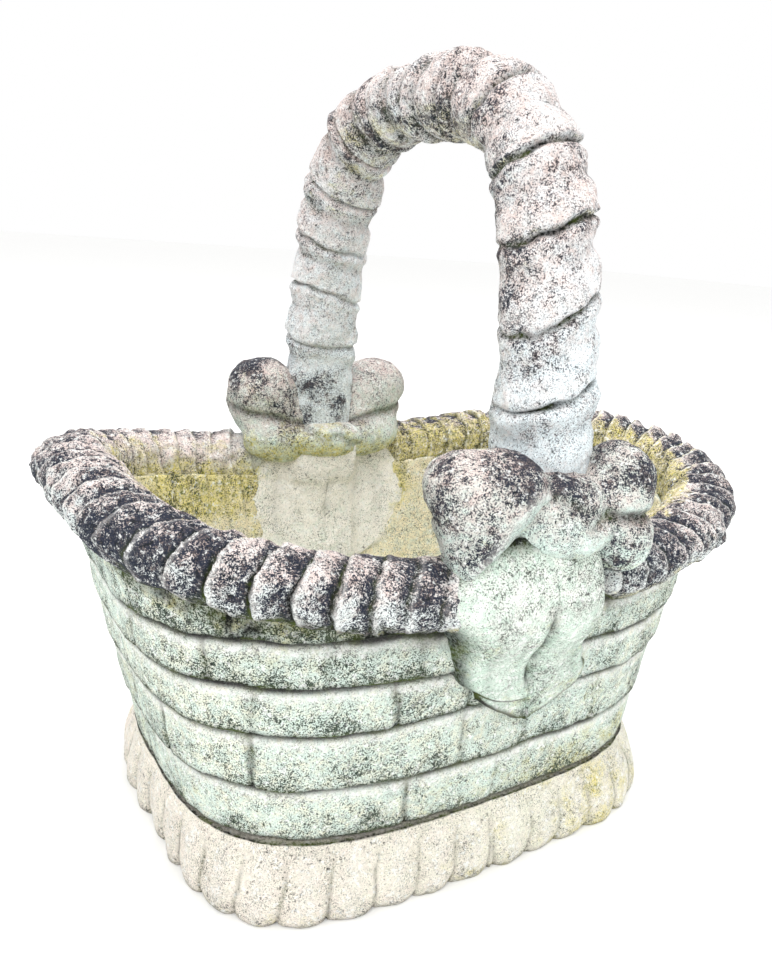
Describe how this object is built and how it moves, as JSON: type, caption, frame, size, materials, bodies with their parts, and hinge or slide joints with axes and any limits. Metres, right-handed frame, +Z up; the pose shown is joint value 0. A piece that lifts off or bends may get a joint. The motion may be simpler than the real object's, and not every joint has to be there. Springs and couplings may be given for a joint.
{
  "type": "stone basket planter",
  "caption": "Oval cast-stone basket planter with a roped foot and rim, woven courses, a twisted arch handle and a ribbon bow at each handle leg.",
  "frame": {"origin": "centre of the foot's footprint, on the ground", "axes": "+Z up, +X along the basket's length, +Y across it; the handle stands in the YZ plane, and the front bow is at -Y"},
  "size_m": [0.5536, 0.432, 0.5739],
  "materials": {
    "basket_stone": "matte weathered cast stone, pale mint with dark speckle",
    "rim_stone": "matte weathered cast stone under charcoal and pink lichen",
    "foot_stone": "matte weathered cast stone, warm cream",
    "handle_stone": "matte weathered cast stone with black speckle",
    "ribbon_bow_stone": "matte weathered cast stone, pinkish grey on top",
    "ribbon_tail_stone": "matte weathered cast stone, very pale",
    "mortar": "matte mortar darkened by moss",
    "bar_steel": "mill-finished reinforcing bar"
  },
  "bodies": {
    "root": {"foot_ring": "foot_stone", "foot_mortar": "mortar", "basket_bowl": "basket_stone", "rim_mortar": "mortar", "rim_rope_left": "rim_stone", "rim_rope_right": "rim_stone", "handle_arch": "handle_stone", "handle_rebar": "bar_steel", "front_bow_knot": "ribbon_bow_stone", "front_bow_left_loop": "ribbon_bow_stone", "front_bow_right_loop": "ribbon_bow_stone", "front_bow_outer_left_tail": "ribbon_tail_stone", "front_bow_outer_right_tail": "ribbon_tail_stone", "front_bow_inner_left_tail": "ribbon_tail_stone", "front_bow_inner_right_tail": "ribbon_tail_stone", "back_bow_knot": "ribbon_bow_stone", "back_bow_left_loop": "ribbon_bow_stone", "back_bow_right_loop": "ribbon_bow_stone", "back_bow_outer_left_tail": "ribbon_tail_stone", "back_bow_outer_right_tail": "ribbon_tail_stone", "back_bow_inner_left_tail": "ribbon_tail_stone", "back_bow_inner_right_tail": "ribbon_tail_stone"}
  },
  "joints": []
}
